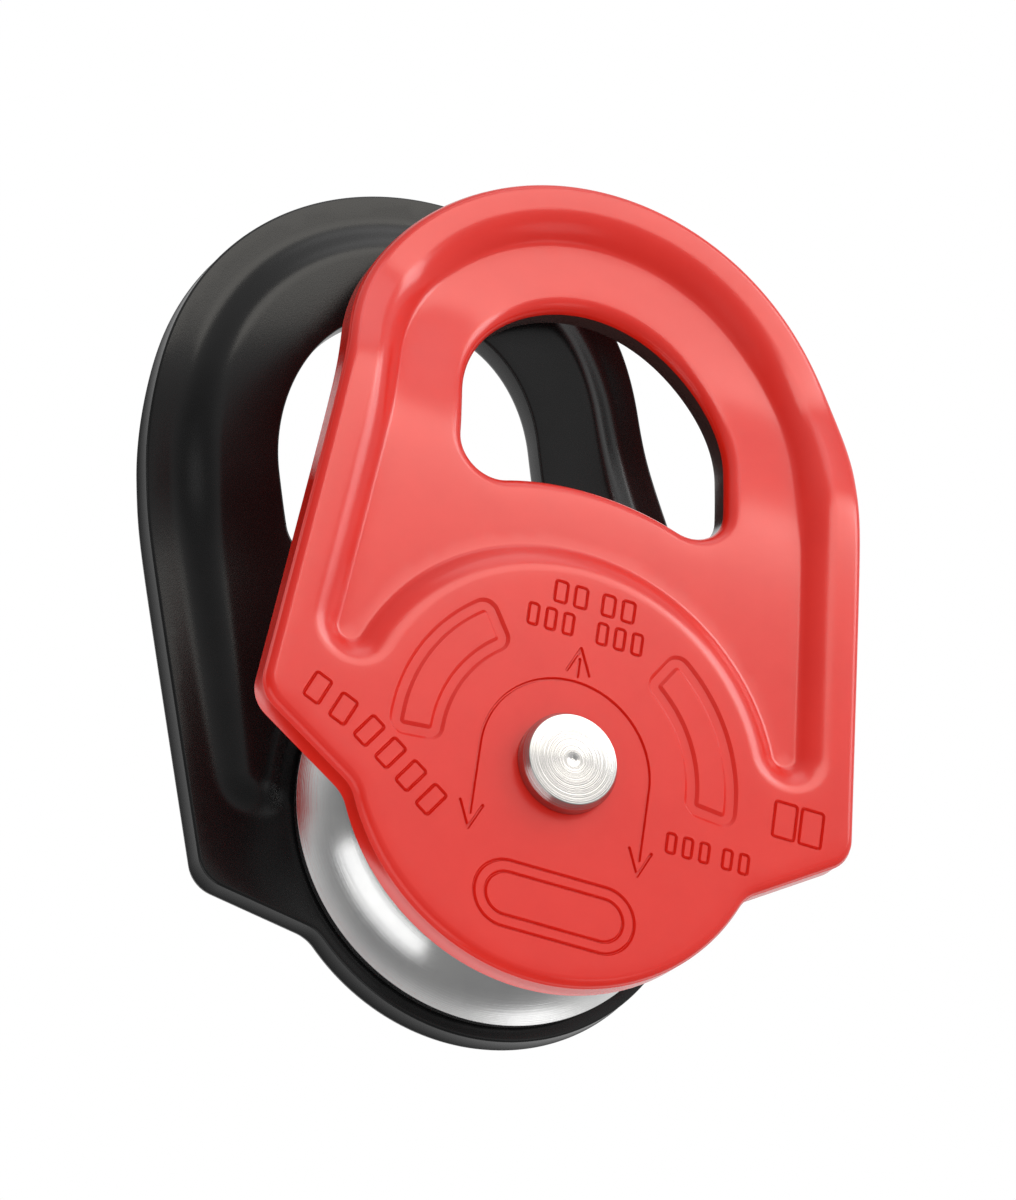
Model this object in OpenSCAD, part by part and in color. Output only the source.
// Swing-cheek rope pulley: two cranked side plates with carabiner eyes, a grooved
// sheave on two sealed ball bearings, and one headed axle.
// Origin: centre of the sheave. +Y: along the axle towards the rear plate. +Z: up, midway
// between the two eyes as the plates stand. Lengths in millimetres, angles in degrees.

/* [Pose] */
// Angle between the two side plates as they stand
plate_spread = 23.5; // [0:0.5:40]

/* [Side plates] */
// Thickness of a side plate
plate_t = 4.5; // [4.2:0.1:5]
// Clear distance between the side plates at the sheave
cheek_gap = 18.5; // [18.5:0.1:20]
// Radius of the round lower end, about the axle
disc_r = 26; // [25.5:0.1:27]
// Half width of a plate at its shoulders
shoulder_half_w = 36.7; // [36:0.1:38]
// Height of the shoulder corner's centre above the axle
shoulder_z = 1; // [1:0.1:1.5]
// Radius of the shoulder corner
shoulder_r = 4; // [3.8:0.1:5]
// Radius of the inside corner where the shoulder meets the round end
notch_r = 4.5; // [3:0.1:5]
// Direction of the notch, from straight up
notch_angle = 113.5; // [111:0.5:116]
// Radius of the arched top
crown_r = 32.7; // [31.5:0.1:34]
// Height of the arch's centre above the axle
crown_z = 45; // [43.5:0.5:46.5]

/* [Carabiner eye] */
// Half width of the eye, and radius of its arch
eye_r = 17; // [15:0.1:17.5]
// Height of the eye's arch centre above the axle
eye_z = 45; // [43:0.1:46]
// Radius of the eye's lower edge, about the axle
eye_floor_r = 36.2; // [35:0.1:37]
// Radius of the eye's lower corners
eye_corner_r = 4.6; // [3:0.1:5]

/* [Pressed web] */
// Width of the raised rim around the web
rim_w = 5.6; // [4.5:0.1:6.5]
// Distance the web is pressed inwards
web_press = 2; // [1.5:0.1:2.1]
// Radius of the web's lower lobes
lobe_r = 3.1; // [2.5:0.1:3.3]
// Height of the lobes' centres above the axle
lobe_z = 10; // [8:0.1:12]

/* [Crank towards the middle] */
// Distance that the upper end of each plate leans inwards
lean = 7; // [6:0.1:7]
// Height above the axle where the lean starts
lean_from = 43.5; // [41:0.5:44.5]
// Height above the axle where the web starts to lean, ahead of the rim
web_lean_from = 38; // [38:0.5:43]
// Height above the axle where the lean ends
lean_to = 58; // [56:0.5:62]

/* [Axle] */
// Diameter of the axle between the plates
axle_d = 10; // [10:0.1:10]
// Diameter of the axle's journals in the plates
journal_d = 8.4; // [8:0.1:8.8]
// Diameter of the axle's heads
head_d = 11.8; // [11:0.1:12.5]
// Height of a head over the plate
head_h = 2.4; // [1.8:0.1:3]

/* [Sheave] */
// Diameter of the tread, at the bottom of the groove
tread_d = 38; // [36:0.5:40]
// Outer diameter of the flanges
flange_d = 49; // [48:0.5:50]
// Width over the flanges
sheave_w = 17.7; // [17.6:0.1:17.7]
// Radius of the groove's section
groove_r = 8.2; // [8:0.1:8.4]

/* [Ball bearings] */
// Outer diameter of a bearing
bearing_d = 26; // [26:0.1:26]
// Width of a bearing
bearing_w = 8; // [8:0.1:8]
// Diameter of a ball
ball_d = 4.76; // [4.7:0.01:4.8]
// Diameter of the circle through the balls' centres
ball_circle_d = 18; // [18:0.1:18.2]
// Number of balls in a bearing
ball_count = 7; // [6:1:7]

/* [Hidden] */
$fn = 96;

FRONT = -1;
REAR = 1;
running_gap = 0.05;             // radial and axial play of a moving fit
inner_y = cheek_gap / 2;        // inner face of a plate at the sheave
outer_y = inner_y + plate_t;    // outer face of a plate at the sheave
bed_z = -disc_r - 1;            // below everything that a plate has
top_z = crown_z + crown_r + 1;  // above everything that a plate has
lobe_x = sqrt(pow(disc_r + lobe_r, 2) - pow(lobe_z, 2));
web_arch_r = crown_r - rim_w;
eye_corner_x = eye_r - eye_corner_r;
eye_corner_z = sqrt(pow(eye_floor_r + eye_corner_r, 2) - pow(eye_corner_x, 2));
shaft_half = inner_y - running_gap;
washer_t = 0.68;
washer_d = 15;
bearing_gap = 1;                // width of the ridge between the two bearings
bearing_y = (bearing_gap + bearing_w) / 2;
inner_race_d = 14.7;
outer_race_bore = 21.3;
raceway_r = ball_d / 2 + 0.04;
seal_seat_d = 22.6;
seal_t = 0.7;
seal_y = bearing_w / 2 - 0.25 - seal_t;
cage_sheet = 0.4;
cage_in = 8.1;
cage_out = 9.9;
pocket_r = ball_d / 2 + 0.07;
rivet_r = 0.3;

function polar(r, a) = [r * sin(a), r * cos(a)];  // a counts from straight up
function flip(points) = [for (i = [len(points) - 1:-1:0]) [-points[i][0], points[i][1]]];
function mirrored(points) = concat(points, flip(points));
// Point where a straight line that wraps circles a and b on their right touches circle a
function touch(a, ra, b, rb) = let (
    d = b - a,
    turn = atan2(d[1], d[0]) + acos((ra - rb) / norm(d))
) a + ra * [cos(turn), sin(turn)];
function unit(v) = v / norm(v);

// ---- outlines of a side plate, seen along the axle with its own eye straight up ----

shoulder_c = [shoulder_half_w - shoulder_r, shoulder_z];
crown_c = [0, crown_z];
notch_c = polar(disc_r + notch_r, notch_angle);
// The straight edge under the shoulder touches the shoulder corner on its lower side
// and the notch circle on its upper side.
under = notch_c - shoulder_c;
under_turn = atan2(under[1], under[0]) + acos((shoulder_r + notch_r) / norm(under));
under_dir = [cos(under_turn), sin(under_turn)];

module plate_outline() {
    side_top = touch(crown_c, crown_r, shoulder_c, shoulder_r);
    side_low = shoulder_c + shoulder_r * unit(side_top - crown_c);
    difference() {
        union() {
            circle(disc_r);
            translate(crown_c) circle(crown_r);
            for (s = [-1, 1]) translate([s * shoulder_c[0], shoulder_c[1]]) circle(shoulder_r);
            polygon(mirrored([
                crown_c, side_top, side_low, shoulder_c,
                shoulder_c + shoulder_r * under_dir,
                notch_c - notch_r * under_dir, notch_c,
                notch_c * disc_r / (disc_r + notch_r), [0, 0]
            ]));
        }
        for (s = [-1, 1]) translate([s * notch_c[0], notch_c[1]]) circle(notch_r);
    }
}

module web_outline() {
    lobe_c = [lobe_x, lobe_z];
    side_top = touch(crown_c, web_arch_r, lobe_c, lobe_r);
    difference() {
        union() {
            translate(crown_c) circle(web_arch_r);
            for (s = [-1, 1]) translate([s * lobe_x, lobe_z]) circle(lobe_r);
            polygon(mirrored([
                crown_c, side_top, lobe_c + lobe_r * unit(side_top - crown_c), lobe_c,
                lobe_c * disc_r / (disc_r + lobe_r), [0, 0]
            ]));
        }
        circle(disc_r);
    }
}

module eye_outline() {
    corner_c = [eye_corner_x, eye_corner_z];
    difference() {
        union() {
            intersection() {
                translate([0, eye_z]) circle(eye_r);
                translate([-eye_r, eye_z]) square([2 * eye_r, eye_r]);
            }
            for (s = [-1, 1]) translate([s * eye_corner_x, eye_corner_z]) circle(eye_corner_r);
            polygon(mirrored([
                [0, eye_z], [eye_r, eye_z], [eye_r, eye_corner_z], corner_c,
                corner_c * eye_floor_r / (eye_floor_r + eye_corner_r), [0, eye_floor_r - 1]
            ]));
        }
        circle(eye_floor_r);
    }
}

// Section of a plate seen from its side: straight at the sheave, then cranked inwards
module crank_section(inset, from) {
    near = inner_y - inset;
    far = outer_y - inset;
    polygon([
        [-far, bed_z], [-near, bed_z], [-near, from], [lean - near, lean_to],
        [lean - near, top_z], [lean - far, top_z], [lean - far, lean_to], [-far, from]
    ]);
}

module cranked_slab(inset, from) {
    rotate([90, 0, 90]) linear_extrude(2 * shoulder_half_w + 2, center = true)
        crank_section(inset, from);
}

module along_axle(y0, y1) {
    translate([0, y1, 0]) rotate([90, 0, 0]) linear_extrude(y1 - y0) children();
}

module side_plate(bore_r) {
    difference() {
        union() {
            intersection() {
                cranked_slab(0, lean_from);
                along_axle(-outer_y - 1, 1) difference() {
                    plate_outline();
                    web_outline();
                }
            }
            intersection() {
                cranked_slab(web_press, web_lean_from);
                along_axle(-outer_y - 1, 1) web_outline();
            }
        }
        along_axle(-outer_y - 2, 2) eye_outline();
        translate([0, 1, 0]) rotate([90, 0, 0]) cylinder(r = bore_r, h = outer_y + 2);
    }
}

// ---- turned parts: a section of [radius, position along the axle], spun about the axle ----

module turned(y = 0, side = REAR) {
    translate([0, y, 0]) rotate([-90 * side, 0, 0]) rotate_extrude() children();
}

module ring_section(r0, r1, y0, y1) {
    translate([r0, y0]) square([r1 - r0, y1 - y0]);
}

module axle() {
    bevel_r = 0.5;
    bevel_h = 1;
    head_r = head_d / 2;
    under_head = outer_y + running_gap;
    tip = outer_y + head_h;
    rear_half = [
        [axle_d / 2, shaft_half], [journal_d / 2, shaft_half], [journal_d / 2, under_head],
        [head_r, under_head], [head_r, tip - bevel_h], [head_r - bevel_r, tip], [0, tip]
    ];
    front_half = [for (i = [len(rear_half) - 1:-1:0]) [rear_half[i][0], -rear_half[i][1]]];
    color("silver") turned() polygon(concat(front_half, rear_half));
}

module sheave() {
    rim_y = sheave_w / 2;
    rim_r = flange_d / 2;
    edge = 0.3;
    bore_r = bearing_d / 2;
    color("gainsboro") turned() {
        difference() {
            polygon([
                [bore_r, -rim_y], [rim_r - edge, -rim_y], [rim_r, edge - rim_y],
                [rim_r, rim_y - edge], [rim_r - edge, rim_y], [bore_r, rim_y]
            ]);
            translate([tread_d / 2 + groove_r, 0]) circle(groove_r);
        }
        ring_section(bore_r - 1.2, bore_r + 1, -bearing_gap / 2, bearing_gap / 2);
    }
}

module washer(side) {
    y0 = bearing_y + bearing_w / 2;
    color("lightgray") turned(side = side)
        ring_section(axle_d / 2 + running_gap, washer_d / 2, y0, y0 + washer_t);
}

module race_spacer() {
    color("lightgray") turned()
        ring_section(axle_d / 2 + running_gap, inner_race_d / 2 - 0.4, -bearing_gap / 2, bearing_gap / 2);
}

// ---- ball bearing; its outer side faces the plate that it runs beside ----

module outer_race(side) {
    half_w = bearing_w / 2;
    seat_depth = half_w - seal_y + 0.1;
    color("darkgray") turned(side * bearing_y, side) difference() {
        ring_section(outer_race_bore / 2, bearing_d / 2, -half_w, half_w);
        translate([ball_circle_d / 2, 0]) circle(raceway_r);
        for (s = [-1, 1]) translate([0, s * (half_w - seat_depth / 2)])
            square([seal_seat_d, seat_depth + 0.001], center = true);
    }
}

module inner_race(side) {
    half_w = bearing_w / 2;
    color("darkgray") turned(side * bearing_y, side) difference() {
        ring_section(axle_d / 2, inner_race_d / 2, -half_w, half_w);
        translate([ball_circle_d / 2, 0]) circle(raceway_r);
    }
}

module on_ball_circle(half_step = 0) {
    for (i = [0:ball_count - 1])
        rotate([0, (i + half_step) * 360 / ball_count, 0])
            translate([0, 0, ball_circle_d / 2]) children();
}

module balls(side) {
    color("white") translate([0, side * bearing_y, 0]) on_ball_circle() sphere(ball_d / 2);
}

// One pressed half of a ribbon cage: flat lands with a round pocket over each ball
module cage_half(side, facing) {
    shell_r = pocket_r + cage_sheet;
    color("goldenrod") translate([0, side * bearing_y, 0]) mirror([0, facing < 0 ? 1 : 0, 0]) difference() {
        intersection() {
            union() {
                on_ball_circle() sphere(shell_r);
                turned() ring_section(cage_in, cage_out, 0, cage_sheet);
            }
            turned() ring_section(cage_in, cage_out, 0, shell_r + 1);
        }
        on_ball_circle() sphere(pocket_r);
        on_ball_circle(0.5) rotate([90, 0, 0]) cylinder(r = rivet_r, h = 3, center = true);
    }
}

module cage_rivets(side) {
    stem = 2 * cage_sheet;
    head_t = 0.15;
    color("dimgray") translate([0, side * bearing_y, 0]) on_ball_circle(0.5) rotate([90, 0, 0]) {
        cylinder(r = rivet_r, h = stem + head_t, center = true);
        for (s = [-1, 1]) translate([0, 0, s * (stem + head_t) / 2])
            cylinder(r = rivet_r + 0.2, h = head_t, center = true);
    }
}

module seal(side, facing) {
    lip = 0.07;
    color("black") turned(side * bearing_y, facing) difference() {
        ring_section(inner_race_d / 2 + lip, seal_seat_d / 2, seal_y, seal_y + seal_t);
        translate([ball_circle_d / 2, seal_y + seal_t]) circle(0.35);
    }
}

// ---- assembly ----

color("crimson") rotate([0, plate_spread / 2, 0]) side_plate(journal_d / 2 + running_gap);  // front_side_plate
color("dimgray") rotate([0, -plate_spread / 2, 0]) mirror([0, 1, 0]) side_plate(journal_d / 2);  // rear_side_plate
axle();
sheave();
washer(FRONT);  // front_washer
washer(REAR);  // rear_washer
race_spacer();
outer_race(FRONT);  // front_outer_race
inner_race(FRONT);  // front_inner_race
balls(FRONT);  // front_balls
cage_half(FRONT, FRONT);  // front_cage_outer_half
cage_half(FRONT, REAR);  // front_cage_inner_half
cage_rivets(FRONT);  // front_cage_rivets
seal(FRONT, FRONT);  // front_outer_seal
seal(FRONT, REAR);  // front_inner_seal
outer_race(REAR);  // rear_outer_race
inner_race(REAR);  // rear_inner_race
balls(REAR);  // rear_balls
cage_half(REAR, REAR);  // rear_cage_outer_half
cage_half(REAR, FRONT);  // rear_cage_inner_half
cage_rivets(REAR);  // rear_cage_rivets
seal(REAR, REAR);  // rear_outer_seal
seal(REAR, FRONT);  // rear_inner_seal
